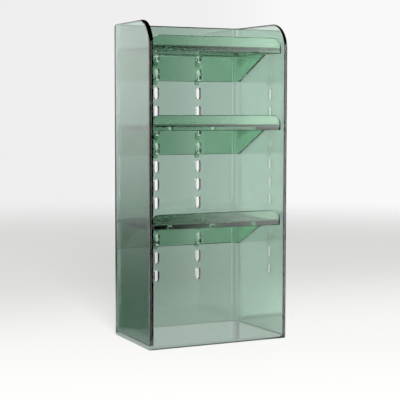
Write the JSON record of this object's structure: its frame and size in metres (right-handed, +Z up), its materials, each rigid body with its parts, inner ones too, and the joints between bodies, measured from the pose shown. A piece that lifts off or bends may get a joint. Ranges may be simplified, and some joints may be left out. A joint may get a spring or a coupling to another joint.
{
  "type": "makeup organizer shelf",
  "caption": "Clear smoke-green upright case, open at the front and the top, with lipped shelves that hang by hooks from slots in its back panel and lift out.",
  "frame": {"origin": "middle of the case's footprint, on the table", "axes": "+Z up, -Y out of the open front, +X to the right seen from the front"},
  "size_m": [0.1188, 0.0823, 0.25],
  "materials": {
    "clear_green_case": "clear, smoke-green tint, polished",
    "clear_green_shelf": "clear, smoke-green tint, polished, rippled on the plate's top"
  },
  "bodies": {
    "case": {"case": "clear_green_case"},
    "top_shelf": {"top_shelf": "clear_green_shelf"},
    "middle_shelf": {"middle_shelf": "clear_green_shelf"},
    "bottom_shelf": {"bottom_shelf": "clear_green_shelf"}
  },
  "joints": [
    {"name": "top_shelf_lift", "type": "slide", "parent": "case", "child": "top_shelf", "axis": [0, 0, 1], "range_m": [0, 0.0039]},
    {"name": "middle_shelf_lift", "type": "slide", "parent": "case", "child": "middle_shelf", "axis": [0, 0, 1], "range_m": [0, 0.0039]},
    {"name": "bottom_shelf_lift", "type": "slide", "parent": "case", "child": "bottom_shelf", "axis": [0, 0, 1], "range_m": [0, 0.0039]}
  ]
}
